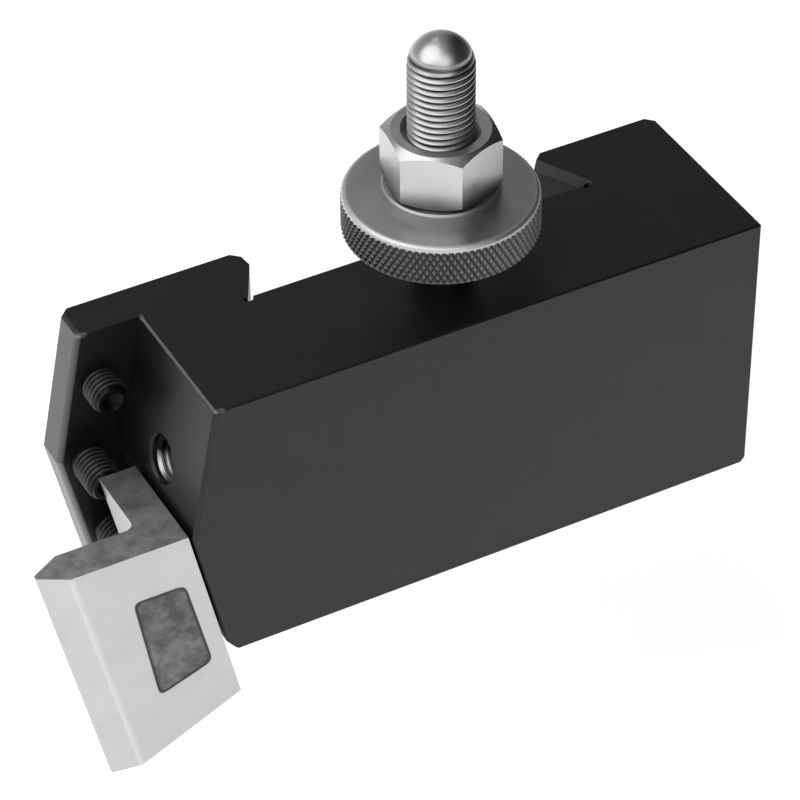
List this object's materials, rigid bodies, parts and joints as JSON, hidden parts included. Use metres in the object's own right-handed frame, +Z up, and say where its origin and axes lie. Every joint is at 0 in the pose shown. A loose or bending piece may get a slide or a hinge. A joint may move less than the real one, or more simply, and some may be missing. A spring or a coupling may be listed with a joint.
{
  "type": "threading tool holder",
  "caption": "Quick-change lathe tool holder with a rear dovetail, a height stud with a knurled nut and a lock nut, and a leaning ground threading blade held by set screws.",
  "frame": {"origin": "middle of the dovetail floor, on the stud's centre plane, at half the block's height", "axes": "+X along the block away from the blade, +Y back towards the tool post, +Z up along the height stud"},
  "size_m": [0.167, 0.0444, 0.1485],
  "materials": {
    "black_oxide_steel": "satin black oxide",
    "turned_steel": "satin turned",
    "bright_steel": "bright",
    "ground_tool_steel": "ground",
    "black_screw_steel": "black oxide"
  },
  "bodies": {
    "holder": {"holder_block": "black_oxide_steel", "height_stud": "bright_steel"},
    "lock_nut": {"lock_nut": "bright_steel"},
    "knurled_nut": {"knurled_nut": "turned_steel"},
    "blade": {"threading_blade": "ground_tool_steel"},
    "upper_screw": {"set_screw_upper": "black_screw_steel"},
    "middle_screw": {"set_screw_middle": "black_screw_steel"},
    "lower_screw": {"set_screw_lower": "black_screw_steel"}
  },
  "joints": [
    {"name": "lock_nut_travel", "type": "slide", "parent": "holder", "child": "lock_nut", "axis": [0, 0, 1], "range_m": [-0.0075, 0.0165]},
    {"name": "knurled_nut_turn", "type": "hinge", "parent": "lock_nut", "child": "knurled_nut", "pos_m": [0, -0.0089, 0.0477], "axis": [0, 0, 1], "range_deg": [-1800, 3960]},
    {"name": "blade_slide", "type": "slide", "parent": "holder", "child": "blade", "axis": [-0.2079, 0, 0.9781], "range_m": [-0.006, 0.005]},
    {"name": "upper_screw_feed", "type": "slide", "parent": "holder", "child": "upper_screw", "axis": [0, 1, 0], "range_m": [-0.003, 0.006]},
    {"name": "middle_screw_feed", "type": "slide", "parent": "holder", "child": "middle_screw", "axis": [0, 1, 0], "range_m": [0, 0.009]},
    {"name": "lower_screw_feed", "type": "slide", "parent": "holder", "child": "lower_screw", "axis": [0, 1, 0], "range_m": [0, 0.009]}
  ],
  "couplings": [
    {"joint": "lock_nut_travel", "follows": "knurled_nut_turn", "m_per_rad": 0.00023873}
  ]
}
